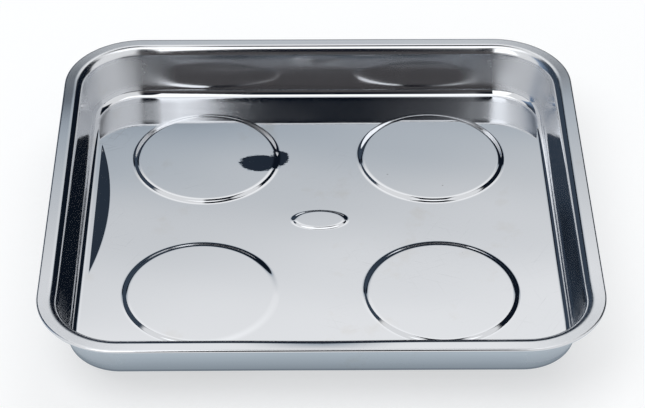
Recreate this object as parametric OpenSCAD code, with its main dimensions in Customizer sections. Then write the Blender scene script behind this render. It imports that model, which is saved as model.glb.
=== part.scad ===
// Magnetic parts tray: one pressed stainless pan that stands on four ring magnets in rubber boots.
// Each magnet sits in a pressed cup, and the cup hangs on a stud welded under the pan's floor.
// Sizes are in millimetres. +X runs to the right along the front, +Y to the back and +Z up.
// The origin is under the middle of the tray, on the surface that the boots stand on.

/* [Pan] */
// Width over the rim, left to right
rim_width = 292; // [270:1:420]
// Depth over the rim, front to back
rim_depth = 273.6; // [255:0.2:420]
// Radius of the rim's corners, seen from above
rim_corner_r = 43.5; // [34:0.5:70]
// Height from the floor's upper face to the top of the rim
pan_height = 29; // [18:0.5:45]
// Thickness of the pan's sheet
sheet_t = 0.6; // [0.4:0.1:1]
// Slope of the walls, in degrees from the floor
wall_angle = 78; // [65:1:85]
// Inside radius of the bend from the floor to the wall
floor_bend_r = 4.2; // [1:0.1:6]
// Inside radius of the bend from the wall to the rim
rim_bend_r = 4.5; // [1.5:0.1:6]
// Width of the rim's flat
rim_flat = 4.8; // [3:0.1:10]
// Gap between the rim and the edge folded back under it
hem_gap = 0.8; // [0.2:0.1:2]
// Length of the edge folded back under the rim
hem_return = 3; // [1:0.5:5]

/* [Magnet seats] */
// How far further out, left or right, the seats lie than the middle of their quarters of the floor
seat_out_x = 0.75; // [-4:0.05:6]
// How far further out, to the front or back, they lie than that middle
seat_out_y = 0.35; // [-4:0.05:6]
// Height of the seats above the floor
seat_rise = 0.9; // [0.5:0.1:2.5]
// Width of the step round a seat, seen from above
seat_step = 4.5; // [2:0.1:6]
// Play between a boot and the hollow of its seat
seat_play = 0.4; // [0.2:0.1:3]

/* [Plaque] */
// Length of the raised oval in the middle of the floor
plaque_length = 33; // [20:1:50]
// Width of the raised oval
plaque_width = 17.5; // [12:0.5:28]
// Height of the oval above the floor
plaque_rise = 0.6; // [0.3:0.1:1.2]
// Width of the step along the oval's long sides, seen from above
plaque_step = 2.2; // [1.2:0.1:4]
// Distance from the middle of the floor back to the middle of the oval
plaque_back = 2.4; // [-10:0.2:10]

/* [Magnets] */
// Diameter of the ring magnets
magnet_d = 68; // [54:0.5:78]
// Bore of the ring magnets
magnet_bore = 32; // [26:0.5:40]
// Thickness of the ring magnets
magnet_t = 10; // [8:0.5:16]
// Chamfer on the magnets' edges, which clears the cup's bends
magnet_chamfer = 1; // [0.5:0.1:1.5]
// Play between a magnet and the walls of its cup
magnet_play = 0.3; // [0.1:0.05:0.6]

/* [Cups] */
// Thickness of the cups' sheet
cup_t = 1; // [0.6:0.1:1.6]
// Play round a stud's flange in the hole of its cup, and under it
flange_play = 0.2; // [0.1:0.05:0.5]

/* [Boots] */
// Thickness of the rubber under a cup
boot_base = 2.5; // [1.5:0.1:5]
// Thickness of the rubber round a cup
boot_wall = 2.1; // [1.5:0.1:4]
// Thickness of the lip that hooks over a cup's edge
boot_lip = 1; // [0.6:0.1:2]
// Radius of a boot's lower edge
boot_edge_r = 1.5; // [0.4:0.1:2.5]
// Play between a boot and its cup
boot_play = 0.2; // [0.1:0.05:0.5]

/* [Fasteners] */
// Diameter of the studs' thread
thread_d = 5; // [4:0.5:6]
// Length of the thread that stands out of a nut
thread_out = 1.5; // [0.5:0.1:2]
// Diameter of the studs' weld flange
flange_d = 6.5; // [6:0.1:7.5]
// Play between the thread and the washers' holes
washer_play = 0.15; // [0.1:0.05:0.3]
// Play between the thread and the bore of a nut
nut_play = 0.05; // [0.02:0.01:0.1]
// Diameter of the flat washers
washer_d = 10; // [9:0.5:13]
// Thickness of the flat washers
washer_t = 1; // [0.8:0.1:1.6]
// Diameter of the spring washers
spring_d = 9.2; // [8.5:0.1:11]
// Thickness of the spring washers
spring_t = 1.2; // [1:0.1:1.6]
// Width of the split in a spring washer
spring_split = 0.7; // [0.4:0.1:1.2]
// Slant of that split, in degrees from upright
spring_slant = 25; // [0:1:40]
// Width of the nuts across their flats
nut_flats = 8; // [7.5:0.5:10]
// Height of the nuts
nut_h = 4; // [3:0.1:5]
// Chamfer on the nuts' corners
nut_chamfer = 0.35; // [0.1:0.05:0.6]

/* [Hidden] */
$fn = 96;
// Most degrees that a sheet turns between two points of a bend
bend_step = 10;

// Rounds a derived size, so that two pieces of the pan placed by it meet edge to edge
function to_hundredth(x) = round(100 * x) / 100;

// The pan's section from the floor's edge to the rim, on the middle of the sheet
bends_r = floor_bend_r + rim_bend_r + sheet_t;
wall_run = (pan_height - bends_r * (1 - cos(wall_angle))) / sin(wall_angle);
section_reach = bends_r * sin(wall_angle) + wall_run * cos(wall_angle) + rim_flat + hem_gap / 2 + sheet_t;
PAN_SECTION = [
    [0, wall_angle, floor_bend_r + sheet_t / 2],
    [wall_run, -wall_angle, rim_bend_r + sheet_t / 2],
    [rim_flat, -180, (hem_gap + sheet_t) / 2],
    [hem_return, 0, 0]
];
corner_x = rim_width / 2 - rim_corner_r;
corner_y = rim_depth / 2 - rim_corner_r;
floor_corner_r = to_hundredth(rim_corner_r - section_reach);
plaque_r = plaque_width / 2;
seat_x = (corner_x + floor_corner_r) / 2 + seat_out_x;
seat_y = (corner_y + floor_corner_r) / 2 + seat_out_y;

// The magnet, its cup and its boot, from the inside out
cup_bend_r = magnet_chamfer;
cup_mid_bend_r = cup_bend_r + cup_t / 2;
cup_r = magnet_d / 2 + magnet_play + cup_t;
well_r = magnet_bore / 2 - magnet_play;
cup_hole_r = flange_d / 2 + flange_play;
boot_r = cup_r + boot_play + boot_wall;
boot_hole_r = well_r + cup_bend_r;
seat_flat_r = boot_r + seat_play;
seat_r = seat_flat_r + seat_step;

// Heights above the surface that the boots stand on
cup_bottom = boot_base;
magnet_bottom = cup_bottom + cup_t;
seat_under = magnet_bottom + magnet_t;
cup_edge = seat_under - boot_lip;
washer_bottom = seat_under - cup_t - washer_t;
spring_bottom = washer_bottom - spring_t;
nut_bottom = spring_bottom - nut_h;
stud_bottom = nut_bottom - thread_out;
floor_mid = seat_under + sheet_t / 2 - seat_rise;

// The four magnets' places: name, side along X, side along Y
STATIONS = [
    ["front_left", -1, -1],
    ["front_right", 1, -1],
    ["back_left", -1, 1],
    ["back_right", 1, 1]
];
function boot_name(s) = str(s[0], "_rubber_boot");
function cup_name(s) = str(s[0], "_magnet_cup");
function magnet_name(s) = str(s[0], "_ring_magnet");
function stud_name(s) = str(s[0], "_weld_stud");

// Moves its children to one station, and draws them at all four
module at_station(s) {
    translate([s[1] * seat_x, s[2] * seat_y, 0]) children();
}

module at_stations() {
    for (s = STATIONS) at_station(s) children();
}

// A path of straight runs and bends from the origin, at first along +X, as [x, y, heading] points.
// Each step is [run, turn, mid_r]: a straight run, then a bend, to the left where turn is positive.
function bend_points(x, y, heading, turn, mid_r) =
    let (count = ceil(abs(turn) / bend_step), r = sign(turn) * mid_r)
    turn == 0 ? [[x, y, heading]] :
    [for (k = [0:count]) let (h = heading + turn * k / count)
        [x + r * (sin(h) - sin(heading)), y - r * (cos(h) - cos(heading)), h]];
function path_points(steps, i = 0, x = 0, y = 0, heading = 0) =
    i == len(steps) ? [] :
    let (
        run = steps[i][0],
        bend = bend_points(x + run * cos(heading), y + run * sin(heading), heading, steps[i][1], steps[i][2]),
        end = bend[len(bend) - 1]
    )
    concat(run > 0 ? [[x, y, heading]] : [], bend, path_points(steps, i + 1, end[0], end[1], end[2]));

// The section of a sheet that follows such a path on its middle
module bent_sheet(steps, t) {
    path = path_points(steps);
    last = len(path) - 1;
    polygon(concat(
        [for (p = path) [p[0] - t / 2 * sin(p[2]), p[1] + t / 2 * cos(p[2])]],
        [for (k = [last:-1:0]) [path[k][0] + t / 2 * sin(path[k][2]), path[k][1] - t / 2 * cos(path[k][2])]]
    ));
}

// A step down across a width: two equal bends, one each way, that meet halfway
function step_angle(width, rise) = 2 * atan(rise / width);

module step_down(inner, width, rise) {
    angle = step_angle(width, rise);
    mid_r = width / (2 * sin(angle));
    translate([0, rise]) bent_sheet([[inner, -angle, mid_r], [0, angle, mid_r]], sheet_t);
}

// A rectangle with round corners about the given corner centres
module round_rectangle(x, y, r) {
    square([2 * (x + r), 2 * y], center = true);
    square([2 * x, 2 * (y + r)], center = true);
    for (i = [-1, 1], j = [-1, 1]) translate([i * x, j * y]) circle(r);
}

// Stretches a round shape of the plaque's width to its length, and moves it to its place
module at_plaque() {
    translate([0, plaque_back, 0]) scale([plaque_length / plaque_width, 1, 1]) children();
}

// The walls and rim: the section turned round each corner and drawn along each side
module pan_walls() {
    for (i = [0:3]) {
        cx = (i == 0 || i == 3 ? 1 : -1) * corner_x;
        cy = (i < 2 ? 1 : -1) * corner_y;
        side_length = 2 * (i % 2 == 0 ? corner_y : corner_x);
        side_reach = (i % 2 == 0 ? corner_x : corner_y) + floor_corner_r;
        translate([cx, cy, 0]) rotate(90 * i)
            rotate_extrude(angle = 90) translate([floor_corner_r, 0]) bent_sheet(PAN_SECTION, sheet_t);
        rotate(90 * i) translate([side_reach, 0, 0]) rotate([90, 0, 0])
            linear_extrude(side_length, center = true) bent_sheet(PAN_SECTION, sheet_t);
    }
}

// The pressed pan: floor, four raised seats, plaque, sloped walls and hemmed rim
module tray_pan() {
    color("gainsboro") translate([0, 0, floor_mid]) {
        linear_extrude(sheet_t, center = true) difference() {
            round_rectangle(corner_x, corner_y, floor_corner_r);
            at_stations() circle(seat_r);
            at_plaque() circle(plaque_r);
        }
        at_stations() rotate_extrude() step_down(seat_flat_r, seat_step, seat_rise);
        at_plaque() rotate_extrude() step_down(plaque_r - plaque_step, plaque_step, plaque_rise);
        pan_walls();
    }
}

// The ring magnet, which lies in its cup and under the seat
module ring_magnet() {
    inner = magnet_bore / 2;
    outer = magnet_d / 2;
    c = magnet_chamfer;
    color("dimgray") translate([0, 0, magnet_bottom]) rotate_extrude()
        polygon([
            [inner + c, 0], [outer - c, 0], [outer, c], [outer, magnet_t - c],
            [outer - c, magnet_t], [inner + c, magnet_t], [inner, magnet_t - c], [inner, c]
        ]);
}

// The pressed cup: a plate on the stud, a well down the magnet's bore, a bottom and an outer wall
module magnet_cup() {
    plate_run = well_r - cup_t - cup_bend_r - cup_hole_r;
    well_run = magnet_t - 2 * cup_mid_bend_r;
    bottom_run = cup_r - well_r - 2 * cup_mid_bend_r;
    wall_up = cup_edge - cup_bottom - cup_t - cup_bend_r;
    color("silver") rotate_extrude()
        translate([cup_hole_r, seat_under - cup_t / 2])
            bent_sheet([
                [plate_run, -90, cup_mid_bend_r],
                [well_run, 90, cup_mid_bend_r],
                [bottom_run, 90, cup_mid_bend_r],
                [wall_up, 0, 0]
            ], cup_t);
}

// The rubber boot: a base with a hole for the well, a wall and a lip over the cup's edge
module rubber_boot() {
    pocket_r = cup_r + boot_play;
    color([0.1, 0.1, 0.11]) rotate_extrude()
        difference() {
            union() {
                square([boot_r - boot_edge_r, seat_under]);
                translate([0, boot_edge_r]) square([boot_r, seat_under - boot_edge_r]);
                translate([boot_r - boot_edge_r, boot_edge_r]) circle(boot_edge_r);
            }
            square([boot_hole_r, seat_under]);
            translate([0, cup_bottom]) square([pocket_r, cup_edge - cup_bottom]);
            translate([0, cup_bottom]) square([cup_r - cup_t, seat_under]);
        }
}

// The stud: a weld flange under the seat and a threaded shank with a chamfered tip
module weld_stud() {
    flange_t = cup_t - flange_play;
    tip = thread_d / 8;
    color("lightgray") {
        translate([0, 0, seat_under - flange_t]) cylinder(d = flange_d, h = flange_t);
        translate([0, 0, stud_bottom + tip]) cylinder(d = thread_d, h = seat_under - stud_bottom - tip);
        translate([0, 0, stud_bottom]) cylinder(d1 = thread_d - 2 * tip, d2 = thread_d, h = tip);
    }
}

// A plain ring on the stud
module washer(d, t, bottom) {
    translate([0, 0, bottom]) difference() {
        cylinder(d = d, h = t);
        translate([0, 0, -t]) cylinder(d = thread_d + 2 * washer_play, h = 3 * t);
    }
}

module flat_washer() {
    color("lightgray") washer(washer_d, washer_t, washer_bottom);
}

// The spring washer: a ring with a slanted split
module spring_washer() {
    color("gray") difference() {
        washer(spring_d, spring_t, spring_bottom);
        translate([spring_d / 2, 0, spring_bottom + spring_t / 2]) rotate([spring_slant, 0, 0])
            cube([spring_d, spring_split, 4 * spring_t], center = true);
    }
}

// The nut: a hexagon with its corners turned off at both ends
module hex_nut() {
    corner_r = nut_flats / 2 / cos(30);
    color("lightgray") translate([0, 0, nut_bottom]) difference() {
        intersection() {
            cylinder(r = corner_r, h = nut_h, $fn = 6);
            rotate_extrude() polygon([
                [0, 0], [corner_r - nut_chamfer, 0], [corner_r, nut_chamfer],
                [corner_r, nut_h - nut_chamfer], [corner_r - nut_chamfer, nut_h], [0, nut_h]
            ]);
        }
        translate([0, 0, -nut_h]) cylinder(d = thread_d + 2 * nut_play, h = 3 * nut_h);
    }
}

tray_pan();
for (s = STATIONS) {
    at_station(s) rubber_boot();
    at_station(s) magnet_cup();
    at_station(s) ring_magnet();
    at_station(s) weld_stud();
}
at_stations() flat_washer();  // flat_washers
at_stations() spring_washer();  // spring_washers
at_stations() hex_nut();  // hex_nuts
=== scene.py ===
"""Looks of a magnetic parts tray in bright pressed stainless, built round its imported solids, in metres.

The pan is one sheet, worked out on the middle of its thickness: a flat floor, four raised seats and an oval
plaque, and one section carried round the outline for the walls and the folded rim. Under each seat are a ring
magnet in a pressed cup, a rubber boot, and the stud, washers and nut that hold them.
"""
import math

import bmesh
import bpy
import numpy as np
from mathutils import Matrix, Vector


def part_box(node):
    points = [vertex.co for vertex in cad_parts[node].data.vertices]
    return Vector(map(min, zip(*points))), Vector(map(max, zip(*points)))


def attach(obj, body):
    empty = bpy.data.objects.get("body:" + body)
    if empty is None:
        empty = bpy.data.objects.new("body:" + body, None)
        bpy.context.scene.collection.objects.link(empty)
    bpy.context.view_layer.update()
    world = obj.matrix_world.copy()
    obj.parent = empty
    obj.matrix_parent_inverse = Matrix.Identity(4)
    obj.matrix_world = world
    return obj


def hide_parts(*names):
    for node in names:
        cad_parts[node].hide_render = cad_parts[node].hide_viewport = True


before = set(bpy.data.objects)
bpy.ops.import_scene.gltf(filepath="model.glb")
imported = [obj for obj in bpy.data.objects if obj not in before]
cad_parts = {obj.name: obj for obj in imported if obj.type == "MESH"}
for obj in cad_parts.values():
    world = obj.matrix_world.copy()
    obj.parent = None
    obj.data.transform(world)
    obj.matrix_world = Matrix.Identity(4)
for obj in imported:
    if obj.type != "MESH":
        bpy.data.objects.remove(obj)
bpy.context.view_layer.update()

MM = 0.001
STATIONS = {"front_left": (-1, -1), "front_right": (1, -1), "back_left": (-1, 1), "back_right": (1, 1)}

# Sizes of the pan's sheet, as in the solids
SHEET = 0.6 * MM
WALL_ANGLE = math.radians(78)
FLOOR_BEND = 4.2 * MM
RIM_BEND = 4.5 * MM
RIM_FLAT = 4.8 * MM
RIM_CORNER = 43.5 * MM
HEM_GAP = 0.8 * MM
HEM_RETURN = 3 * MM
SEAT_RISE = 0.9 * MM
SEAT_STEP = 4.5 * MM
SEAT_PLAY = 0.4 * MM
PLAQUE_LENGTH = 33 * MM
PLAQUE_WIDTH = 17.5 * MM
PLAQUE_RISE = 0.6 * MM
PLAQUE_STEP = 2.2 * MM
PLAQUE_BACK = 2.4 * MM

# Sizes under the pan, as in the solids
CUP_SHEET = 1 * MM
BOOT_LIP = 1 * MM
BOOT_BASE = 2.5 * MM
BOOT_WALL = 2.1 * MM
BOOT_EDGE = 1.5 * MM
BOOT_PLAY = 0.2 * MM
WELL_PLAY = 0.3 * MM
MAGNET_CHAMFER = 1 * MM
FLANGE = 0.8 * MM
FLANGE_R = 3.25 * MM
FLANGE_PLAY = 0.2 * MM
THREAD_R = 2.5 * MM
NUT_BORE_R = 2.55 * MM
NUT_CHAMFER = 0.35 * MM
WASHER_BORE_R = 2.65 * MM
SPRING_SPLIT = 0.7 * MM
SPRING_SLANT = math.radians(25)

# Rounded edges in the order of a section's corners, and the thread, which are finer than the solids
BOOT_ROUNDS = [0.4 * MM, BOOT_EDGE, 0.4 * MM, 0.3 * MM, 0.2 * MM, 0.1 * MM, 0.6 * MM, 0.5 * MM]
MAGNET_ROUND = 0.15 * MM
FLAT_WASHER_ROUNDS = [0.12 * MM, 0.25 * MM, 0.12 * MM, 0.12 * MM]
SPRING_WASHER_ROUNDS = [0.15 * MM] * 4
FLANGE_EDGE = 0.1 * MM
THREAD_PITCH = 0.8 * MM
THREAD_DEPTH = 0.45 * MM
THREAD_FLAT = 0.1
THREAD_TIP_R = 0.75 * THREAD_R
NUT_MOUTH = 0.3 * MM
NUT_ROWS = np.array([0, 0.1, 0.2, 0.3, 0.4, 0.6]) * MM

# Places from the frame
pan_low, pan_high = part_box("tray_pan")
boot_low, boot_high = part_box("back_right_rubber_boot")
magnet_low, magnet_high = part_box("back_right_ring_magnet")
stud_low, stud_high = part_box("back_right_weld_stud")
SEAT = np.array([(boot_low.x + boot_high.x) / 2, (boot_low.y + boot_high.y) / 2])
BOOT_R = (boot_high.x - boot_low.x) / 2
FLOOR_MID = pan_low.z + SHEET / 2
PAN_HEIGHT = pan_high.z - SHEET / 2 - FLOOR_MID
SEAT_FLAT_R = BOOT_R + SEAT_PLAY
SEAT_R = SEAT_FLAT_R + SEAT_STEP
CUP_R = BOOT_R - BOOT_WALL - BOOT_PLAY

# The pan's section from the floor's edge to the end of the fold, on the middle of the sheet
BENDS = FLOOR_BEND + RIM_BEND + SHEET
WALL_RUN = (PAN_HEIGHT - BENDS * (1 - math.cos(WALL_ANGLE))) / math.sin(WALL_ANGLE)
SECTION_REACH = (BENDS * math.sin(WALL_ANGLE) + WALL_RUN * math.cos(WALL_ANGLE)
                 + RIM_FLAT + HEM_GAP / 2 + SHEET)
PAN_SECTION = [
    (0, WALL_ANGLE, FLOOR_BEND + SHEET / 2),
    (WALL_RUN, -WALL_ANGLE, RIM_BEND + SHEET / 2),
    (RIM_FLAT, -math.pi, (HEM_GAP + SHEET) / 2),
    (HEM_RETURN, 0, 0),
]
CORNER = np.array([pan_high.x - RIM_CORNER, pan_high.y - RIM_CORNER])
FLOOR_CORNER_R = RIM_CORNER - SECTION_REACH

# How the pressed sheet strays from its true shape. Each wave has a share of the height, its radians to the
# unit along X, Y and Z, and its start.
WAVE_HEIGHT = 0.02 * MM
WAVE_UNIT = 100 * MM
WAVE_FADE = 6 * MM
WAVES = [(1.0, (5.1, 2.3, 0.0), 0.4), (1.0, (-3.4, 5.6, 0.0), 1.9),
         (0.6, (9.2, -1.7, 4.0), 0.8), (0.6, (2.8, 10.3, -5.0), 2.7)]
PLAQUE_HOLD = 0.55 * PLAQUE_WIDTH
RIM_REACH = RIM_FLAT + RIM_BEND
BACK_LEAN = math.tan(math.radians(1.8))
FRONT_LEAN = math.tan(math.radians(4.5))
FRONT_START = RIM_REACH / 3
FRONT_HALF = CORNER[0] / 2

# Dents in the pan's finish: eased corners, a long lens on the floor, a ragged spot of two ovals given by
# their middles and sizes, and a seat with a faint sector, whose ends give the angles of none and of all
EASE_RUN = 10 * MM
EASE_TURN = 16 * MM
EASE_LEAN = 0.06
LENS_EDGE = -124.4 * MM
LENS_WIDTH = 7.8 * MM
LENS_MIDDLE = 14.5 * MM
LENS_HALF = 58.3 * MM
LENS_STRAIGHT_FADE = 0.3 * MM
LENS_CURVE_FADE = 1 * MM
SPOTS = [((-28 * MM, 55 * MM, 14 * MM), (12.5 * MM, 8 * MM, 20 * MM)),
         ((-16.5 * MM, 60.5 * MM, 14 * MM), (5 * MM, 7.5 * MM, 20 * MM))]
SPOT_FADE = 0.7
SPOT_WANDER = (11 * MM, 4 * MM, 0)
SPOT_STREAKS = (200, 650, 330)
DENT_LEAN = 0.07
FAINTNESS = 0.78
FAINT_START = (math.radians(-105), math.radians(-75))
FAINT_END = (math.radians(38), math.radians(18))

# Roughness of the pan: the floor's, what the walls and their corners add, and the heights between which the
# walls' part starts and ends
FLOOR_ROUGH = 0.035
WALL_ROUGH = 0.055
CORNER_ROUGH = 0.4
CORNER_SATIN = 20 * MM
WALL_STARTS = (pan_low.z + 3.5 * MM, pan_low.z + 8 * MM)
WALL_ENDS = (pan_high.z - 8 * MM, pan_high.z - 4 * MM)
RIM_POLISH = 0.6

# Fineness of the meshes
SUPPORT = 0.4 * MM
MERGE = 0.002 * MM
BEND_STEP = math.radians(7.5)
RUN_STEP = 5 * MM
CORNER_CUTS = 28
PLAQUE_CUTS = 14
FLOOR_ROWS = 9
SPIN_CUTS = 96
EDGE_CUTS = 4
THREAD_ROWS = 12
NUT_SIDE_CUTS = 14
SHARP = math.radians(40)
PAN_SHARP = math.radians(50)


# Surfaces

def grid_faces(rows, columns, close_rows=False, close_columns=False):
    """Corners of the quads between neighbouring points of a grid, which closes on itself where asked."""
    i, j = np.meshgrid(np.arange(rows if close_rows else rows - 1),
                       np.arange(columns if close_columns else columns - 1), indexing="ij")
    i_next = (i + 1) % rows
    j_next = (j + 1) % columns
    corners = [i * columns + j, i_next * columns + j, i_next * columns + j_next, i * columns + j_next]
    return np.stack(corners, axis=-1).reshape(-1, 4)


def run_distances(run):
    """Distances along a straight run: its ends, a point close to each end, and even points between."""
    near = min(SUPPORT, run / 4)
    even = np.linspace(near, run - near, max(1, round(run / RUN_STEP)) + 1)
    return np.concatenate([[0], even, [run]])


def straight_line(start, end):
    """Points from one place to another, spaced as along a straight run."""
    run = np.linalg.norm(end - start)
    return start + (end - start) * run_distances(run)[:, None] / run


def bent_path(steps):
    """Middle line of a bent sheet, from the origin and at first along +X. Each step is a straight run, then a
    bend of a turn and a radius: a point at heading h on the bend lies at the radius times the change in the
    sine and in minus the cosine of h."""
    x, y, heading = 0.0, 0.0, 0.0
    stretches = [np.zeros((1, 2))]
    for run, turn, radius in steps:
        if run:
            along = run_distances(run)[1:]
            stretches.append(np.column_stack([x + along * math.cos(heading), y + along * math.sin(heading)]))
            x, y = stretches[-1][-1]
        if turn:
            h = heading + turn * np.linspace(0, 1, math.ceil(abs(turn) / BEND_STEP) + 1)[1:]
            r = math.copysign(radius, turn)
            stretches.append(np.column_stack([x + r * (np.sin(h) - math.sin(heading)),
                                              y - r * (np.cos(h) - math.cos(heading))]))
            x, y = stretches[-1][-1]
            heading += turn
    return np.concatenate(stretches)


def step_path(inner, width, rise):
    """Middle line of a raised round: a flat from the centre, then two equal bends down over its step."""
    angle = 2 * math.atan(rise / width)
    radius = width / (2 * math.sin(angle))
    return bent_path([(inner, -angle, radius), (0, angle, radius)]) + [0, rise]


def rounded_loop(corners, radii):
    """A closed outline with each corner rounded: the arc's centre is on the corner's bisector, and its points
    turn evenly from the normal of one side to the normal of the next."""
    corners = np.asarray(corners, float)
    radii = np.asarray(radii, float)[:, None]
    back = np.roll(corners, 1, axis=0) - corners
    ahead = np.roll(corners, -1, axis=0) - corners
    back /= np.linalg.norm(back, axis=1, keepdims=True)
    ahead /= np.linalg.norm(ahead, axis=1, keepdims=True)
    bisector = back + ahead
    bisector /= np.linalg.norm(bisector, axis=1, keepdims=True)
    half_sine = np.abs(bisector[:, :1] * back[:, 1:] - bisector[:, 1:] * back[:, :1])
    centre = corners + bisector * radii / half_sine
    start = corners + back * radii * np.sqrt(1 - half_sine ** 2) / half_sine - centre
    end = corners + ahead * radii * np.sqrt(1 - half_sine ** 2) / half_sine - centre
    cross = start[:, 0] * end[:, 1] - start[:, 1] * end[:, 0]
    sweep = np.arctan2(cross, np.sum(start * end, axis=1))[:, None]
    a = np.arctan2(start[:, 1], start[:, 0])[:, None] + sweep * np.linspace(0, 1, EDGE_CUTS + 1)
    arcs = centre[:, None] + radii[:, None] * np.stack([np.cos(a), np.sin(a)], axis=-1)
    return arcs.reshape(-1, 2)


def sheet_loop(path, thickness):
    """Closed outline of a sheet's section: its middle line moved half the thickness to each side."""
    along = np.gradient(path, axis=0)
    along /= np.linalg.norm(along, axis=1, keepdims=True)
    side = np.column_stack([-along[:, 1], along[:, 0]]) * thickness / 2
    return np.concatenate([path + side, (path - side)[::-1]])


def around(radius, angle, height):
    """Points about the upright axis: X and Y are the radius times the cosine and the sine of the angle."""
    return np.stack(np.broadcast_arrays(radius * np.cos(angle), radius * np.sin(angle), height), axis=-1)


def spun(loop):
    """A closed outline of (radius, height) points carried round the upright axis."""
    turn = np.linspace(0, 2 * math.pi, SPIN_CUTS, endpoint=False)[:, None]
    points = around(loop[:, 0], turn, loop[:, 1])
    return points, grid_faces(*points.shape[:2], close_rows=True, close_columns=True)


def at_station(part, sides):
    """The same surface moved from the axis to one of the four seats."""
    points, faces = part
    return points + [sides[0] * SEAT[0], sides[1] * SEAT[1], 0], faces


def rise_within(value, low, high):
    """A smooth step from 0 at one value to 1 at another: three times the square of the share of the way, less
    twice its cube."""
    share = np.clip((value - low) / (high - low), 0, 1)
    return share * share * (3 - 2 * share)


# Pieces

def read_vectors(items, name):
    """A vector of every item of a mesh, as the rows of an array."""
    values = np.empty(len(items) * 3, np.float32)
    items.foreach_get(name, values)
    return values.reshape(-1, 3).astype(float)


def put(name, data):
    """A new object in the scene."""
    made = bpy.data.objects.new(name, data)
    bpy.context.scene.collection.objects.link(made)
    return made


def joined_mesh(name, parts):
    """One mesh of several surfaces: shared points are merged, and its faces are turned to agree."""
    points = [part[0].reshape(-1, 3) for part in parts]
    starts = np.cumsum([0] + [len(rows) for rows in points])
    faces = [part[1] + start for part, start in zip(parts, starts)]
    mesh = bpy.data.meshes.new(name)
    mesh.from_pydata(np.concatenate(points), [], np.concatenate(faces))
    work = bmesh.new()
    work.from_mesh(mesh)
    bmesh.ops.remove_doubles(work, verts=work.verts, dist=MERGE)
    bmesh.ops.recalc_face_normals(work, faces=work.faces)
    work.to_mesh(mesh)
    work.free()
    return mesh


def dress(piece, material, nodes, sharp):
    """Smooth shading but for edges sharper than an angle, a finish, and the piece's place in the frame."""
    piece.data.polygons.foreach_set("use_smooth", np.ones(len(piece.data.polygons), bool))
    piece.data.set_sharp_from_angle(angle=sharp)
    piece.data.materials.clear()
    piece.data.materials.append(material)
    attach(piece, "root")
    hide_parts(*nodes)


def add_piece(name, parts, material, nodes):
    """Puts a closed piece in the scene in place of the solids that it stands for."""
    dress(put(name, joined_mesh(name, parts)), material, nodes, SHARP)


def quarter_outline():
    """A quarter of the floor's edge, from the middle of the right side round the corner to the middle of the
    back, with the outward direction at each point: two straight runs and a quarter circle."""
    side = run_distances(CORNER[1])
    back = CORNER[0] - run_distances(CORNER[0])
    turn = np.linspace(0, math.pi / 2, CORNER_CUTS + 1)[1:-1]
    outward = np.concatenate([
        np.tile([1.0, 0.0], (len(side), 1)),
        np.column_stack([np.cos(turn), np.sin(turn)]),
        np.tile([0.0, 1.0], (len(back), 1)),
    ])
    middle = np.concatenate([
        np.column_stack([np.full(len(side), CORNER[0]), side]),
        np.tile(CORNER, (len(turn), 1)),
        np.column_stack([back, np.full(len(back), CORNER[1])]),
    ])
    return middle + FLOOR_CORNER_R * outward, outward


def quarter_walls(edge, outward):
    """The pan's section carried along a quarter of the floor's edge, square to it."""
    section = bent_path(PAN_SECTION)
    flat = edge[:, None] + section[None, :, :1] * outward[:, None]
    height = np.broadcast_to(FLOOR_MID + section[:, 1], flat.shape[:2])
    return np.dstack([flat, height]), grid_faces(*flat.shape[:2])


def quarter_plaque(turn):
    """A quarter of the raised oval: a raised round of the oval's width, stretched to its length."""
    path = step_path(PLAQUE_WIDTH / 2 - PLAQUE_STEP, PLAQUE_STEP, PLAQUE_RISE)
    points = around(path[:, 0], turn[:, None], FLOOR_MID + path[:, 1])
    return points * [PLAQUE_LENGTH / PLAQUE_WIDTH, 1, 1], grid_faces(*points.shape[:2])


def quarter_floor(edge, foot):
    """The flat floor between a seat's circle and the edges of its quarter: lines that run straight out from
    the seat's centre, with a point close to each end and even points between, and the lines' directions."""
    left = straight_line(edge[-1], foot[0])
    front = straight_line(foot[-1], edge[0])
    border = np.concatenate([edge, left[1:], foot[1:], front[1:-1]])
    reach = np.linalg.norm(border - SEAT, axis=1)[:, None]
    outward = (border - SEAT) / reach
    near = SEAT_R + SUPPORT
    even = near + (reach - SUPPORT - near) * np.linspace(0, 1, FLOOR_ROWS)
    distance = np.concatenate([np.full_like(reach, SEAT_R), even, reach], axis=1)
    flat = SEAT + distance[..., None] * outward[:, None]
    height = np.full(flat.shape[:2], FLOOR_MID)
    return (np.dstack([flat, height]), grid_faces(*flat.shape[:2], close_rows=True)), outward


def quarter_seat(outward):
    """A raised round about a seat's centre, along the same lines as the floor round it."""
    path = step_path(SEAT_FLAT_R, SEAT_STEP, SEAT_RISE)
    flat = SEAT + path[None, :, :1] * outward[:, None]
    height = np.broadcast_to(FLOOR_MID + path[:, 1], flat.shape[:2])
    return np.dstack([flat, height]), grid_faces(*flat.shape[:2], close_rows=True)


def pan_sheet():
    """The whole pan on the middle of its sheet: one quarter, mirrored across both middle planes."""
    edge, outward = quarter_outline()
    turn = np.linspace(math.pi / 2, 0, PLAQUE_CUTS + 1)
    foot = np.column_stack([np.cos(turn) * PLAQUE_LENGTH / 2, np.sin(turn) * PLAQUE_WIDTH / 2])
    floor, from_seat = quarter_floor(edge, foot)
    quarter = [quarter_walls(edge, outward), floor, quarter_seat(from_seat), quarter_plaque(turn)]
    return [(points * [x, y, 1], faces) for points, faces in quarter for x in (1, -1) for y in (1, -1)]


def sheet_waves(x, y, z):
    """How far the pressed sheet stands off its true place: a sum of long sine waves across it."""
    x, y, z = (side / WAVE_UNIT for side in (x, y, z))
    waves = (share * np.sin(a * x + b * y + c * z + start) for share, (a, b, c), start in WAVES)
    return WAVE_HEIGHT * sum(waves)


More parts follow.
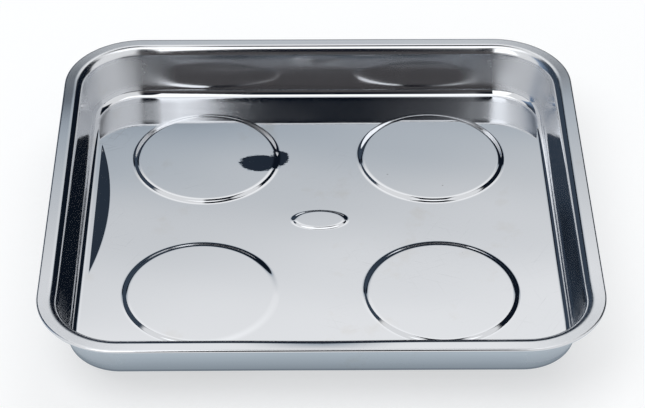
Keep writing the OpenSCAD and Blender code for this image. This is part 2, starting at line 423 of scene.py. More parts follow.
def rim_inset(x, y):
    """Distance in from the rim's outline, which is negative outside it: the corner's radius less the distance
    from the rounding's centre, or from the line between two centres."""
    return RIM_CORNER - np.hypot(np.maximum(np.abs(x) - CORNER[0], 0), np.maximum(np.abs(y) - CORNER[1], 0))


def plaque_shift(x, y):
    """How far points of the flat floor move back with the plaque: all the way within its outline, and less
    and less round it."""
    distance = np.hypot(x * PLAQUE_WIDTH / PLAQUE_LENGTH, y)
    return PLAQUE_BACK * rise_within(distance, PLAQUE_WIDTH, PLAQUE_HOLD)


def rim_dip(x, y, z):
    """How far the rim leans in: a slope inward from its edge along the back, and from its middle along the
    front, where the sheet was drawn most."""
    inset = rim_inset(x, y)
    at_rim = rise_within(z, FLOOR_MID + PAN_HEIGHT / 2, FLOOR_MID + PAN_HEIGHT - RIM_BEND)
    at_back = rise_within(y, CORNER[1], pan_high.y - RIM_REACH)
    at_front = rise_within(np.abs(x), FRONT_HALF, 0) * (y < 0)
    back = BACK_LEAN * np.clip(inset, 0, RIM_REACH) * at_back
    front = FRONT_LEAN * np.clip(inset - FRONT_START, 0, RIM_REACH) * at_front
    return (back + front) * at_rim


def tray_pan(material):
    """The pan: its middle sheet, slightly uneven as pressings are, given its thickness."""
    mesh = joined_mesh("tray_pan_sheet", pan_sheet())
    points = read_vectors(mesh.vertices, "co")
    normals = read_vectors(mesh.vertex_normals, "vector")
    x, y, z = points.T.copy()
    below_rim = np.clip((pan_high.z - WAVE_FADE - z) / WAVE_FADE, 0, 1)
    points += normals * (below_rim * sheet_waves(x, y, z))[:, None]
    points[:, 1] += plaque_shift(x, y)
    points[:, 2] -= rim_dip(x, y, z)
    mesh.vertices.foreach_set("co", points.ravel())
    piece = put("pressed_pan", mesh)
    wall = piece.modifiers.new("thickness", "SOLIDIFY")
    wall.thickness = SHEET
    wall.offset = 0
    wall.use_even_offset = True
    applied = bpy.data.meshes.new_from_object(piece.evaluated_get(bpy.context.evaluated_depsgraph_get()))
    piece.modifiers.clear()
    piece.data = applied
    dress(piece, material, ["tray_pan"], PAN_SHARP)


def magnet_bore_r():
    """Radius of a magnet's bore: the nearest that its solid comes to the seat's centre."""
    points = read_vectors(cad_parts["back_right_ring_magnet"].data.vertices, "co")
    return np.linalg.norm(points[:, :2] - SEAT, axis=1).min()


def well_r():
    """Outer radius of a cup's well, which goes down the magnet's bore with a little play."""
    return magnet_bore_r() - WELL_PLAY


def rubber_boot():
    """A boot, as a section carried round: a base with a hole for the well, a wall and a lip over the cup."""
    hole = well_r() + MAGNET_CHAMFER
    pocket = CUP_R + BOOT_PLAY
    lip = CUP_R - CUP_SHEET
    top = boot_high.z
    corners = [(hole, 0), (BOOT_R, 0), (BOOT_R, top), (lip, top), (lip, top - BOOT_LIP),
               (pocket, top - BOOT_LIP), (pocket, BOOT_BASE), (hole, BOOT_BASE)]
    return spun(rounded_loop(corners, BOOT_ROUNDS))


def magnet_cup():
    """A cup, as a section carried round: a plate on the stud, a well down the bore, a bottom and a wall."""
    bend = MAGNET_CHAMFER + CUP_SHEET / 2
    well = well_r()
    hole = FLANGE_R + FLANGE_PLAY
    thickness = magnet_high.z - magnet_low.z
    path = bent_path([
        (well - CUP_SHEET - MAGNET_CHAMFER - hole, -math.pi / 2, bend),
        (thickness - 2 * bend, math.pi / 2, bend),
        (CUP_R - well - 2 * bend, math.pi / 2, bend),
        (boot_high.z - BOOT_LIP - magnet_low.z - MAGNET_CHAMFER, 0, 0),
    ])
    return spun(sheet_loop(path + [hole, boot_high.z - CUP_SHEET / 2], CUP_SHEET))


def ring_magnet():
    """A magnet, as a section carried round: a ring with its edges taken off."""
    inner = magnet_bore_r()
    outer = (magnet_high.x - magnet_low.x) / 2
    low, high, c = magnet_low.z, magnet_high.z, MAGNET_CHAMFER
    corners = [(inner + c, low), (outer - c, low), (outer, low + c), (outer, high - c),
               (outer - c, high), (inner + c, high), (inner, high - c), (inner, low + c)]
    return spun(rounded_loop(corners, [MAGNET_ROUND] * len(corners)))


def weld_stud():
    """A stud: a threaded rod under a weld flange. The thread's radius falls from its crest by a saw of even
    flanks, whose phase is the height over the pitch less the share of a turn and whose crest and root are cut
    off flat, and a cone bounds its tip."""
    rod_high = stud_high.z - FLANGE
    turn = np.linspace(0, 1, SPIN_CUTS // 2, endpoint=False)
    rows = round((rod_high - stud_low.z) / THREAD_PITCH * THREAD_ROWS)
    height = np.linspace(stud_low.z, rod_high, rows)[:, None]
    flank = np.abs(2 * ((height / THREAD_PITCH - turn) % 1) - 1)
    depth = THREAD_DEPTH * np.clip((flank - THREAD_FLAT) / (1 - 2 * THREAD_FLAT), 0, 1)
    thread = np.minimum(THREAD_R - depth, THREAD_TIP_R + height - stud_low.z)
    flange = np.array([(THREAD_R, rod_high), (FLANGE_R - FLANGE_EDGE, rod_high),
                       (FLANGE_R, rod_high + FLANGE_EDGE), (FLANGE_R, stud_high.z), (0, stud_high.z)])
    radius = np.concatenate([np.zeros((1, len(turn))), thread, np.repeat(flange[:, :1], len(turn), axis=1)])
    height = np.concatenate([[stud_low.z], height[:, 0], flange[:, 1]])[:, None]
    return around(radius, 2 * math.pi * turn, height), grid_faces(*radius.shape, close_columns=True)


def washer_loop(node, rounds):
    """Rounded section of a washer, from its bore to the outside of its solid."""
    low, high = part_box(node)
    outer = (high.x - low.x) / 2 - SEAT[0]
    corners = [(WASHER_BORE_R, low.z), (outer, low.z), (outer, high.z), (WASHER_BORE_R, high.z)]
    return rounded_loop(corners, rounds)


def flat_washer():
    """A flat washer, as a section carried round: a stamped ring with slightly rounded edges."""
    return spun(washer_loop("flat_washers", FLAT_WASHER_ROUNDS))


def spring_washer():
    """A ring with a slanted split: its section carried round from one face of the split to the other, where
    the angle of each face shifts with the height by the slant, closed by a fan at each face."""
    loop = washer_loop("spring_washers", SPRING_WASHER_ROUNDS)
    centre = loop.mean(axis=0)
    half = SPRING_SPLIT / 2 / math.cos(SPRING_SLANT) / loop[:, 0]
    shift = -math.tan(SPRING_SLANT) * (loop[:, 1] - centre[1]) / loop[:, 0]
    share = np.linspace(0, 1, SPIN_CUTS)[:, None]
    angle = shift + half + (2 * math.pi - 2 * half) * share
    fans = (half.mean(), 2 * math.pi - half.mean())
    ends = ((1, 1), (0, 0))
    angle = np.pad(angle, ends, constant_values=(fans, (0, 0)))
    radius, height = (np.pad(np.tile(loop[:, k], (SPIN_CUTS, 1)), ends, constant_values=centre[k])
                      for k in (0, 1))
    return around(radius, angle, height), grid_faces(*radius.shape, close_columns=True)


def hex_nut():
    """A nut: at each angle the hexagon's radius is half its flats over the cosine of the angle from the
    nearest flat's middle, and the cones of the two chamfers bound it."""
    low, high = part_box("hex_nuts")
    corner_r = (high.x - low.x) / 2 - SEAT[0]
    turn = np.linspace(0, 2 * math.pi, 6 * NUT_SIDE_CUTS, endpoint=False)
    flat_turn = (turn % (math.pi / 3)) - math.pi / 6
    hexagon = corner_r * math.cos(math.pi / 6) / np.cos(flat_turn)
    outside = np.concatenate([low.z + NUT_ROWS, (high.z - NUT_ROWS)[::-1]])[:, None]
    cone = corner_r - NUT_CHAMFER + np.minimum(outside - low.z, high.z - outside)
    mouth = np.full((1, len(turn)), NUT_BORE_R + NUT_MOUTH)
    bore = np.full((2, len(turn)), NUT_BORE_R)
    radius = np.concatenate([mouth, np.minimum(hexagon, cone), mouth, bore])
    inside = [high.z, high.z - NUT_MOUTH, low.z + NUT_MOUTH]
    height = np.concatenate([[low.z], outside[:, 0], inside])[:, None]
    return around(radius, turn, height), grid_faces(*radius.shape, close_rows=True, close_columns=True)


# Shader nodes

def add_node(tree, kind, inputs=None, **settings):
    """A node with its settings, and its inputs set to values or linked to other nodes' outputs."""
    made = tree.nodes.new(kind)
    for name, value in settings.items():
        setattr(made, name, value)
    for socket, value in (inputs or {}).items():
        if isinstance(value, bpy.types.NodeSocket):
            tree.links.new(value, made.inputs[socket])
        else:
            made.inputs[socket].default_value = value
    return made


def math_node(tree, operation, a, b=0.0):
    """The output of a Math node on two values."""
    return add_node(tree, "ShaderNodeMath", {0: a, 1: b}, operation=operation).outputs[0]


def product(tree, value, *others):
    """Several values multiplied together."""
    for other in others:
        value = math_node(tree, "MULTIPLY", value, other)
    return value


def vector_node(tree, operation, *values):
    """The vector that a Vector Math node puts out."""
    return add_node(tree, "ShaderNodeVectorMath", dict(enumerate(values)), operation=operation).outputs[0]


def length(tree, vector):
    """The length of a vector."""
    return add_node(tree, "ShaderNodeVectorMath", {0: vector}, operation="LENGTH").outputs["Value"]


def sides_of(tree, vector):
    """The X, Y and Z of a vector."""
    return add_node(tree, "ShaderNodeSeparateXYZ", {0: vector}).outputs


def spread(tree, value, low, high, to_low=0.0, to_high=1.0):
    """A value mapped from one range to another, held at the ends."""
    return add_node(tree, "ShaderNodeMapRange", {"Value": value, "From Min": low, "From Max": high,
                                                 "To Min": to_low, "To Max": to_high}).outputs[0]


def stretched(tree, place, scale):
    """A place with its axes scaled: a pattern read there is drawn out along those of a small scale."""
    return add_node(tree, "ShaderNodeMapping", {"Vector": place, "Scale": scale}).outputs[0]


def noise(tree, place, scale, detail, roughness=0.5):
    """A cloudy noise, as a value and a colour."""
    inputs = {"Vector": place, "Scale": scale, "Detail": detail, "Roughness": roughness}
    made = add_node(tree, "ShaderNodeTexNoise", inputs).outputs
    return made[0], made["Color"]


def blend_colour(tree, share, first, second):
    """A colour between two by a share."""
    ends = [end if isinstance(end, bpy.types.NodeSocket) else (*end, 1) for end in (first, second)]
    return add_node(tree, "ShaderNodeMix", {0: share, 6: ends[0], 7: ends[1]}, data_type="RGBA").outputs[2]


# Marks on the finishes

def new_group(name, **values):
    """A shader node group that reads a place and named values and puts out a mask, and its end nodes."""
    tree = bpy.data.node_groups.new(name, "ShaderNodeTree")
    tree.interface.new_socket("Vector", in_out="INPUT", socket_type="NodeSocketVector")
    for socket, value in values.items():
        made = tree.interface.new_socket(socket, in_out="INPUT", socket_type="NodeSocketFloat")
        made.default_value = value
    tree.interface.new_socket("Mask", in_out="OUTPUT", socket_type="NodeSocketFloat")
    return tree, add_node(tree, "NodeGroupInput").outputs, add_node(tree, "NodeGroupOutput").inputs


def hairline_group():
    """Short hairline scratches in four directions: noise drawn out along each and cut off high, kept in
    patches. Each direction has an angle and a fineness across it."""
    directions = ((0.35, 1500), (1.2, 1900), (2.1, 1700), (2.75, 1300))
    fineness_along = 45
    tree, given, out = new_group("hairlines", Amount=0.5)
    lines = []
    for angle, across in directions:
        turned = add_node(tree, "ShaderNodeMapping", {"Vector": given["Vector"], "Rotation": (0, 0, angle),
                                                      "Location": (angle, 2 * angle, 0)}).outputs[0]
        drawn = stretched(tree, turned, (fineness_along, across, across))
        lines.append(spread(tree, noise(tree, drawn, 1.0, 0.0)[0], 0.74, 0.82))
    scratches = lines[0]
    for line in lines[1:]:
        scratches = math_node(tree, "MAXIMUM", scratches, line)
    patches = spread(tree, noise(tree, given["Vector"], 22.0, 2.0)[0], 0.52, 0.72)
    tree.links.new(product(tree, scratches, patches, given["Amount"]), out["Mask"])
    return tree


def smudge_group():
    """Soft smudges: cloudy noise cut off above a level."""
    tree, given, out = new_group("smudges", Scale=20.0, Level=0.5)
    cloud = noise(tree, given["Vector"], given["Scale"], 5.0, 0.6)[0]
    above = math_node(tree, "SUBTRACT", cloud, given["Level"])
    tree.links.new(spread(tree, above, 0.0, 0.25), out["Mask"])
    return tree


def speck_group():
    """Sparse specks: small rounds about a few of the points of a Voronoi pattern."""
    tree, given, out = new_group("specks", Scale=90.0, Share=0.1, Size=0.06)
    cells = add_node(tree, "ShaderNodeTexVoronoi",
                     {"Vector": given["Vector"], "Scale": given["Scale"]}).outputs
    draw = add_node(tree, "ShaderNodeSeparateColor", {0: cells["Color"]}).outputs[0]
    chosen = math_node(tree, "LESS_THAN", draw, given["Share"])
    inside = math_node(tree, "SUBTRACT", given["Size"], cells["Distance"])
    tree.links.new(product(tree, spread(tree, inside, 0.0, 0.02), chosen), out["Mask"])
    return tree


GROUPS = {"hairlines": hairline_group(), "smudges": smudge_group(), "specks": speck_group()}


def marks(tree, group, **inputs):
    """The mask of one of the groups, placed in a material with its own values."""
    return add_node(tree, "ShaderNodeGroup", inputs, node_tree=GROUPS[group]).outputs["Mask"]


# Dents in the pan, which only turn its normals

def oval_spot(tree, place, middle, size):
    """A mask of an oval spot on the floor: 1 well within it, fading to 0 at its edge."""
    shares = vector_node(tree, "DIVIDE", vector_node(tree, "SUBTRACT", place, middle), size)
    return spread(tree, length(tree, shares), 1.0, SPOT_FADE)


def eased_lean(tree, place, normal):
    """How far the walls' normals lean round the corners, whose bend starts gradually: the way that the corner
    turns, from 0 some way along the wall up to the corner's start, and back to 0 within the corner."""
    sides = sides_of(tree, place)
    facing = sides_of(tree, normal)
    turn = math_node(tree, "SIGN", product(tree, sides[0], sides[1]))
    leans = []
    for k in (0, 1):
        past = math_node(tree, "SUBTRACT", math_node(tree, "ABSOLUTE", sides[k]), float(CORNER[k]))
        before = spread(tree, past, -EASE_RUN, 0.0, 0.0, EASE_LEAN)
        after = spread(tree, past, EASE_TURN, 0.0)
        leans.append(product(tree, before, after, turn, facing[1 - k]))
    return add_node(tree, "ShaderNodeCombineXYZ", {"X": leans[0], "Y": leans[1]}).outputs[0]


def faint_side(tree, place):
    """A mask of the step of the front left seat on its right, where it is pressed softly: a ring between two
    radii, and a sector of it that fades at both ends."""
    from_seat = vector_node(tree, "ADD", place, (*SEAT, 0))
    level = vector_node(tree, "MULTIPLY", from_seat, (1, 1, 0))
    off_middle = math_node(tree, "SUBTRACT", length(tree, level), SEAT_FLAT_R + SEAT_STEP / 2)
    ring = math_node(tree, "LESS_THAN", math_node(tree, "ABSOLUTE", off_middle), SEAT_STEP / 2 + SUPPORT)
    x, y, _ = sides_of(tree, level)
    turn = math_node(tree, "ARCTAN2", y, x)
    return product(tree, ring, spread(tree, turn, *FAINT_START), spread(tree, turn, *FAINT_END))


def lens_dent(tree, place):
    """A mask of a long lens beside the left wall, bounded by a straight line and a parabola."""
    x, y, _ = sides_of(tree, place)
    along = math_node(tree, "DIVIDE", math_node(tree, "SUBTRACT", y, LENS_MIDDLE), LENS_HALF)
    width = product(tree, math_node(tree, "SUBTRACT", 1.0, product(tree, along, along)), LENS_WIDTH)
    inward = math_node(tree, "SUBTRACT", x, LENS_EDGE)
    past_line = spread(tree, inward, -LENS_STRAIGHT_FADE, LENS_STRAIGHT_FADE)
    short_of_curve = spread(tree, math_node(tree, "SUBTRACT", width, inward), 0.0, LENS_CURVE_FADE)
    return product(tree, past_line, short_of_curve)


def spot_dent(tree, place):
    """A mask of a spot on the back left seat: two ovals whose places wander with a streaky noise."""
    wander = noise(tree, stretched(tree, place, SPOT_STREAKS), 1.0, 5.0, 0.75)[1]
    ragged = vector_node(tree, "MULTIPLY_ADD", wander, SPOT_WANDER, place)
    return math_node(tree, "MAXIMUM", *(oval_spot(tree, ragged, middle, size) for middle, size in SPOTS))


def dented_normal(tree, place):
    """The pan's normal: flatter on the faint side of a seat, leaning to the back where the floor is dented,
    and leaning round the corners."""
    upper = math_node(tree, "GREATER_THAN", sides_of(tree, place)[2], FLOOR_MID)
    dents = math_node(tree, "MAXIMUM", lens_dent(tree, place), spot_dent(tree, place))
    lean = add_node(tree, "ShaderNodeCombineXYZ", {"Y": product(tree, dents, DENT_LEAN, upper)}).outputs[0]
    true_normal = add_node(tree, "ShaderNodeNewGeometry").outputs["Normal"]
    faint = product(tree, faint_side(tree, place), upper, FAINTNESS)
    normal = add_node(tree, "ShaderNodeMix", {0: faint, 4: true_normal, 5: (0, 0, 1)},
                      data_type="VECTOR").outputs[1]
    leaning = vector_node(tree, "ADD", normal, lean)
    leaning = vector_node(tree, "ADD", leaning, eased_lean(tree, place, normal))
    return vector_node(tree, "NORMALIZE", leaning)


# Finishes

def new_material(name, metallic=0.0):
    """A material with its Principled shader, and the Object coordinates that its patterns read."""
    material = bpy.data.materials.new(name)
    material.use_nodes = True
    tree = material.node_tree
    shader = tree.nodes["Principled BSDF"]
    shader.inputs["Metallic"].default_value = metallic
    place = add_node(tree, "ShaderNodeTexCoord").outputs["Object"]
    return material, tree, shader, place


def paint(tree, shader, colour, rough):
    """Gives a shader its colour and its roughness."""
    tree.links.new(colour, shader.inputs["Base Color"])
    tree.links.new(rough, shader.inputs["Roughness"])


def bump(tree, shader, height, distance, under=None):
    """A Bump node on the shader's Normal, over another normal where there is one."""
    inputs = {"Height": height, "Distance": distance, "Strength": 1.0}
    if under is not None:
        inputs["Normal"] = under
    made = add_node(tree, "ShaderNodeBump", inputs).outputs[0]
    tree.links.new(made, shader.inputs["Normal"])
    return made


def wall_roughness(tree, place):
    """What drawing the sheet adds to its roughness: nothing on the floor, a little on the walls, more towards
    their corners, and less of both on the rim."""
    x, y, height = sides_of(tree, place)
    near = [spread(tree, math_node(tree, "ABSOLUTE", side), middle - CORNER_SATIN, middle + CORNER_SATIN)
            for side, middle in ((x, CORNER[0]), (y, CORNER[1]))]
    rough = spread(tree, product(tree, *near), 0.0, 1.0, WALL_ROUGH, CORNER_ROUGH)
    above_floor = spread(tree, height, *WALL_STARTS)
    at_rim = spread(tree, height, *WALL_ENDS, 0.0, RIM_POLISH)
    return product(tree, math_node(tree, "SUBTRACT", above_floor, at_rim), rough)


def bright_stainless():
    """Bright annealed sheet: nearly a mirror, duller on the walls and most in their corners, with long
    ripples, a fine grain, dents, hairlines, specks, smudges and a few stains."""
    material, tree, shader, place = new_material("bright_stainless", metallic=1.0)
    clean, stained, scratched = (0.66, 0.675, 0.70), (0.60, 0.585, 0.56), (0.3, 0.29, 0.28)
    ripple_depth, grain_depth, scratch_depth = 0.03 * MM, 0.001 * MM, 0.006 * MM
    smudge = marks(tree, "smudges", Vector=place, Scale=14.0, Level=0.5)
    stain = marks(tree, "smudges", Vector=place, Scale=31.0, Level=0.62)
    hairline = marks(tree, "hairlines", Vector=place, Amount=0.3)
    speck = marks(tree, "specks", Vector=place, Scale=130.0, Share=0.05, Size=0.07)
    marked = math_node(tree, "MAXIMUM", product(tree, hairline, 0.35), product(tree, speck, 0.6))
    rough = math_node(tree, "ADD", wall_roughness(tree, place), FLOOR_ROUGH)
    for mark, amount in ((smudge, 0.03), (hairline, 0.2)):
        rough = math_node(tree, "ADD", rough, product(tree, mark, amount))
    sheet = blend_colour(tree, stain, clean, stained)
    paint(tree, shader, blend_colour(tree, marked, sheet, scratched), rough)
    ripple = noise(tree, stretched(tree, place, (9, 9, 160)), 1.0, 1.0)[0]
    grain = noise(tree, place, 900.0, 2.0)[0]
    normal = bump(tree, shader, ripple, ripple_depth, under=dented_normal(tree, place))
    normal = bump(tree, shader, grain, grain_depth, under=normal)
    bump(tree, shader, hairline, -scratch_depth, under=normal)
    return material


def satin_stainless():
    """Pressed cup steel: a satin roughness, a fine grain and a few smudges."""
    material, tree, shader, place = new_material("satin_stainless", metallic=1.0)
    clean, smudged = (0.62, 0.62, 0.62), (0.5, 0.49, 0.47)
    smudge = marks(tree, "smudges", Vector=place, Scale=60.0, Level=0.5)
    rough = spread(tree, smudge, 0.0, 1.0, 0.28, 0.42)
    paint(tree, shader, blend_colour(tree, smudge, clean, smudged), rough)
    bump(tree, shader, noise(tree, place, 1800.0, 2.0)[0], 0.02 * MM)
    return material


def moulded_rubber():
    """Black moulded rubber: a fine pebbled skin, and grey dust in soft patches."""
    material, tree, shader, place = new_material("moulded_rubber")
    clean, dusty = (0.018, 0.018, 0.019), (0.05, 0.048, 0.045)
    dust = marks(tree, "smudges", Vector=place, Scale=45.0, Level=0.48)
    rough = spread(tree, dust, 0.0, 1.0, 0.55, 0.8)
    paint(tree, shader, blend_colour(tree, dust, clean, dusty), rough)
    pebble = add_node(tree, "ShaderNodeTexVoronoi", {"Vector": place, "Scale": 1600.0})
    bump(tree, shader, pebble.outputs["Distance"], 0.05 * MM)
    return material


def ferrite():
    """Sintered ferrite: charcoal grey with a fine speckle, matt."""
    material, tree, shader, place = new_material("ferrite")
    dark, pale = (0.03, 0.03, 0.033), (0.075, 0.073, 0.072)
    speckle = noise(tree, place, 1400.0, 3.0)[0]
    level = spread(tree, speckle, 0.35, 0.7)
    rough = spread(tree, level, 0.0, 1.0, 0.6, 0.75)
    paint(tree, shader, blend_colour(tree, level, dark, pale), rough)
    bump(tree, shader, speckle, 0.03 * MM)
    return material


def zinc_plate():
    """Bright zinc: a cool metal with dull clouds and a fine grain."""
    material, tree, shader, place = new_material("zinc_plate", metallic=1.0)
    bright, dull = (0.66, 0.68, 0.71), (0.5, 0.5, 0.49)
    cloud = marks(tree, "smudges", Vector=place, Scale=350.0, Level=0.45)
    rough = spread(tree, cloud, 0.0, 1.0, 0.22, 0.4)
    paint(tree, shader, blend_colour(tree, cloud, bright, dull), rough)
    bump(tree, shader, noise(tree, place, 2500.0, 2.0)[0], 0.01 * MM)
    return material


# The tray

def build_tray():
    """Every piece of the tray, each with its finish, in place of its solid."""
    steel, satin, rubber = bright_stainless(), satin_stainless(), moulded_rubber()
    magnet_finish, zinc = ferrite(), zinc_plate()
    tray_pan(steel)
    for name, sides in STATIONS.items():
        for part, shape, finish, slot in (
            ("rubber_boot", rubber_boot, rubber, "boot_rubber"),
            ("magnet_cup", magnet_cup, satin, "cup_stainless"),
            ("ring_magnet", ring_magnet, magnet_finish, "magnet_ferrite"),
            ("weld_stud", weld_stud, satin, "stud_stainless"),
        ):
            node = f"{name}_{part}"
            add_piece(f"{node}_made", [at_station(shape(), sides)], finish, [node])
    fasteners = {"flat_washers": flat_washer, "spring_washers": spring_washer, "hex_nuts": hex_nut}
    for node, shape in fasteners.items():
        parts = [at_station(shape(), sides) for sides in STATIONS.values()]
        add_piece(f"{node}_made", parts, zinc, [node])


# The studio

TARGET = Vector((1.22, -18.633, 41.2)) * MM
CAMERA_AZIMUTH = math.radians(-0.796)
CAMERA_ELEVATION = math.radians(38.541)
CAMERA_ROLL = math.radians(0.262)
CAMERA_DISTANCE = 1.22535
CAMERA_LENS = 127.2
WORLD_LIGHT = 0.45
FLOOR_SIZE = 8.0
FLOOR_Z = -0.05 * MM
FLOOR_COLOUR = (0.46, 0.47, 0.48)
FLOOR_GLOW = 0.58
FLOOR_CARD_Z = 0.1 * MM
CARD_DISTANCE = 30.0
PANEL_PLACE = 15.0
CURVED_CUTS = (121, 81)
UPRIGHT_CUTS = (161, 161)
HANGING_CUTS = (121, 61)
FLOOR_CARD_CUTS = 161


def direction(azimuth, elevation):
    """The direction at an azimuth from the back towards the right and an elevation, both in radians."""
    level = np.cos(elevation)
    return np.stack([np.sin(azimuth) * level, np.cos(azimuth) * level, np.sin(elevation)], axis=-1)


def add_camera():
    """The camera of the photograph: a long lens that looks down on the tray from the front."""
    data = bpy.data.cameras.new("camera")
    data.lens = CAMERA_LENS
    back = Vector(direction(CAMERA_AZIMUTH, CAMERA_ELEVATION) * [1, -1, 1])
    level = (-back).cross(Vector((0, 0, 1))).normalized()
    upright = level.cross(-back)
    right = level * math.cos(CAMERA_ROLL) + upright * math.sin(CAMERA_ROLL)
    up = upright * math.cos(CAMERA_ROLL) - level * math.sin(CAMERA_ROLL)
    turned = Matrix((right, up, back)).transposed().to_4x4()
    camera = put("camera", data)
    camera.matrix_world = Matrix.Translation(TARGET + back * CAMERA_DISTANCE) @ turned
    bpy.context.scene.camera = camera


def seen_directly(tree):
    """1 for rays from the camera, a reflection or a clear piece, and 0 for those that light a surface."""
    path = add_node(tree, "ShaderNodeLightPath").outputs
    seen = math_node(tree, "MAXIMUM", path["Is Camera Ray"], path["Is Glossy Ray"])
    return math_node(tree, "MAXIMUM", seen, path["Is Transmission Ray"])


def add_world():
    """A plain white surround, which lights the tray softly."""
    world = bpy.data.worlds.new("surround")
    world.use_nodes = True
    tree = world.node_tree
    background = tree.nodes["Background"]
    background.inputs["Color"].default_value = (1, 1, 1, 1)
    strength = spread(tree, seen_directly(tree), 0, 1, WORLD_LIGHT, 1.0)
    tree.links.new(strength, background.inputs["Strength"])
    bpy.context.scene.world = world


def add_floor():
    """A plain white floor that keeps the tray's shadow."""
    half = FLOOR_SIZE / 2
    mesh = bpy.data.meshes.new("floor")
    corners = [(-half, -half, FLOOR_Z), (half, -half, FLOOR_Z), (half, half, FLOOR_Z), (-half, half, FLOOR_Z)]
    mesh.from_pydata(corners, [], [(0, 1, 2, 3)])
    material, tree, shader, _ = new_material("white_floor")
    shader.inputs["Base Color"].default_value = (*FLOOR_COLOUR, 1)
    shader.inputs["Roughness"].default_value = 1.0
    shader.inputs["Specular IOR Level"].default_value = 0.0
    shader.inputs["Emission Color"].default_value = (1, 1, 1, 1)
    tree.links.new(product(tree, seen_directly(tree), FLOOR_GLOW), shader.inputs["Emission Strength"])
    mesh.materials.append(material)
    put("floor", mesh)


def add_lamp(name, place, size, power):
    """A soft square lamp that faces the tray, and that reflections don't show."""
    data = bpy.data.lights.new(name, "AREA")
    data.size = size
    data.energy = power
    lamp = put(name, data)
    lamp.location = place
    lamp.rotation_euler = (-Vector(place)).to_track_quat("-Z", "Y").to_euler()
    lamp.visible_glossy = False


# Cards that the bright steel mirrors. Their colours are given by stops, each a place and a colour. A cover
# has stops across a card: an azimuth, how far its colours hide a plain white, how bright that white is, and
# how far the colours are raised.

def grey(level):
    """A neutral colour."""
    return (level, level, level)


WHITE = grey(1)
BLACK = (0.006, 0.010, 0.018)
NAVY = (0.05, 0.07, 0.1)
HAZE = (0.3, 0.42, 0.6)
DUSK = (0.085, 0.08, 0.082)
SOOT = (0.03, 0.03, 0.035)
PANEL_STOPS = [(34.6, BLACK), (35.2, (0.06, 0.075, 0.10)), (35.9, (0.46, 0.52, 0.58)),
               (36.7, (0.56, 0.61, 0.66)), (38.5, (0.78, 0.80, 0.82)), (41.7, grey(1.1)), (50, grey(1.25))]
PANEL_COVER = [(-17, 1, 1, 3), (-12, 1, 1, 0.7), (-10, 1, 1, 0.7),
               (10, 1, 1, -0.7), (12, 1, 1, -0.7), (17, 1, 1, 3)]
LOW_COVER = [(-44, 0, 1, 0), (-16, 0.4, 1, 0), (-4, 1, 1, 0), (5, 1, 1, 0), (16, 0.4, 1, 0), (44, 0, 1, 0)]
FRONT_COVER = [(-8, 0, 2, 0), (-5.7, 0, 2, 0), (-4.9, 1, 2, 0),
               (4, 1, 1, 0), (7, 0.92, 1, 0), (11, 0.7, 1, 0), (18, 0, 1, 0)]
BOX_COVER = [(-46, 0, 1, 0), (-42, 1, 1, 0)]
SHADE_STOPS = [(-12 * MM, (0.22, 0.26, 0.30)), (5 * MM, (0.70, 0.79, 0.855)), (50 * MM, grey(0.97))]


def add_card(name, points, colours):
    """A studio card that only reflections see: a grid of points, with a colour of light at each."""
    mesh = bpy.data.meshes.new(name)
    mesh.from_pydata(points.reshape(-1, 3), [], grid_faces(*points.shape[:2]))
    shade = mesh.attributes.new("shade", "FLOAT_COLOR", "POINT")
    opaque = np.dstack([colours, np.ones(colours.shape[:2])])
    shade.data.foreach_set("color", opaque.astype(np.float32).ravel())
    material = bpy.data.materials.new(name)
    material.use_nodes = True
    material.cycles.emission_sampling = "NONE"
    tree = material.node_tree
    tree.nodes.clear()
    light = add_node(tree, "ShaderNodeAttribute", attribute_name="shade").outputs["Color"]
    glow = add_node(tree, "ShaderNodeEmission", {"Color": light}).outputs[0]
    add_node(tree, "ShaderNodeOutputMaterial", {0: glow})
    mesh.materials.append(material)
    card = put(name, mesh)
    card.visible_camera = False
    card.visible_diffuse = False
    card.visible_transmission = False
    card.visible_shadow = False


def faded(colours, edge, width):
    """A card's colours, faded to white within a width of its edges."""
    return 1 + (colours - 1) * rise_within(edge, 0, width)[..., None]


def shaded(value, stops):
    """Colours blended between stops along a value."""
    places = [stop[0] for stop in stops]
    return np.stack([np.interp(value, places, [stop[1][k] for stop in stops]) for k in range(3)], axis=-1)


def card_grid(across, along, cuts):
    """Even places across and along a card."""
    return np.meshgrid(np.linspace(*across, cuts[0]), np.linspace(*along, cuts[1]))


def curved_card(name, azimuths, elevations, stops, fade):
    """A curved screen behind the tray: its points are at even azimuths and elevations on a sphere, and its
    colours are blended between stops across it. All angles are in degrees."""
    a, e = card_grid(azimuths, elevations, CURVED_CUTS)
    points = CARD_DISTANCE * direction(np.radians(a), np.radians(e))
    edge = np.minimum(np.minimum(a - azimuths[0], azimuths[1] - a), elevations[1] - e)
    add_card(name, points, faded(shaded(a, stops), edge, fade))


def upright_card(name, place, azimuths, elevations, stops, cover):
    """A flat upright card at a place along Y: its points are at the tangents of an azimuth and an elevation,
    and its colours are blended between stops up it, and with white by its cover. Angles are in degrees."""
    a, e = card_grid(azimuths, elevations, UPRIGHT_CUTS)
    side = np.full_like(a, math.copysign(1, place))
    points = abs(place) * np.stack([np.tan(np.radians(a)), side, np.tan(np.radians(e))], axis=-1)
    cover = np.array(cover).T
    share, white, lift = (np.interp(a, cover[0], row)[..., None] for row in cover[1:])
    add_card(name, points, white + (shaded(e - lift[..., 0], stops) - white) * share)


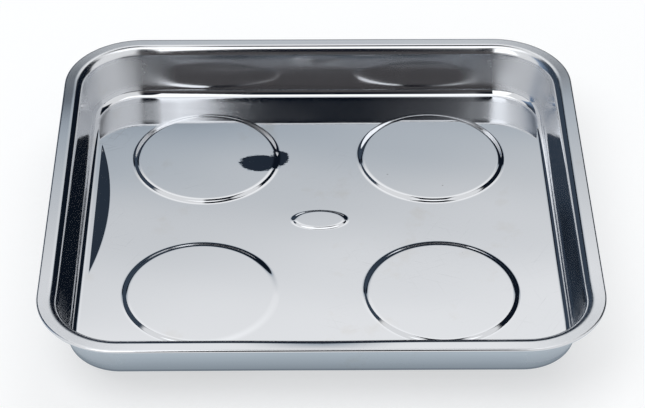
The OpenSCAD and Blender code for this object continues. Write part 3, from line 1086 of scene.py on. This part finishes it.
def hanging_card(name, across, along, stops, fade):
    """A flat level card overhead, between places across and along the tray, given as shares of its height
    over it: its colours are blended between stops across it, and it fades at its near and far edges."""
    x, y = card_grid(across, along, HANGING_CUTS)
    points = CARD_DISTANCE * np.stack([x, y, np.ones_like(x)], axis=-1)
    add_card(name, points, faded(shaded(x, stops), np.minimum(y - along[0], along[1] - y), fade))


def floor_card():
    """The shade that the tray's walls mirror in the floor round it, by the distance out from the rim."""
    reach = SHADE_STOPS[-1][0]
    even = np.linspace(-1, 1, FLOOR_CARD_CUTS)
    x, y = np.meshgrid(even * (pan_high.x + reach), even * (pan_high.y + reach))
    points = np.stack([x, y, np.full_like(x, FLOOR_CARD_Z)], axis=-1)
    add_card("floor_card", points, shaded(-rim_inset(x, y), SHADE_STOPS))


def add_cards():
    """A dark screen and a pale panel behind the tray, strips and a soft box in front of it, a bar and a box
    overhead, and the shade on the floor."""
    curved_card("dark_screen", (-92, 76), (0.5, 56), [(-92, HAZE), (-60, NAVY), (-20, NAVY), (10, BLACK)], 4)
    upright_card("back_panel", PANEL_PLACE, (-26, 26), (34, 56), PANEL_STOPS, PANEL_COVER)
    upright_card("low_strip", -CARD_DISTANCE, (-44, 44), (0.2, 20), [(0, DUSK), (20, DUSK)], LOW_COVER)
    upright_card("front_strip", -CARD_DISTANCE, (-8, 20), (20, 75),
                 [(30, DUSK), (38, SOOT), (56, BLACK)], FRONT_COVER)
    upright_card("soft_box", -CARD_DISTANCE, (-46, -8), (20, 70), [(20, WHITE), (28, grey(2))], BOX_COVER)
    hanging_card("back_bar", (-0.06, 0.2), (0.27, 0.7),
                 [(-0.06, WHITE), (-0.035, BLACK), (0.16, BLACK), (0.2, WHITE)], 0.012)
    hanging_card("top_box", (-0.4, 0.4), (-0.25, 0.265), [(-0.4, grey(1.6)), (0.4, grey(1.6))], 0.02)
    floor_card()


def build_studio():
    """Camera, white surround and floor, soft lamps and cards."""
    add_camera()
    add_world()
    add_floor()
    add_lamp("key_lamp", (-0.8, -0.6, 1.9), size=1.4, power=15)
    add_lamp("back_lamp", (0.5, 1.4, 1.6), size=1.6, power=13)
    add_cards()
    bpy.context.scene.view_settings.view_transform = "Standard"


build_tray()
build_studio()
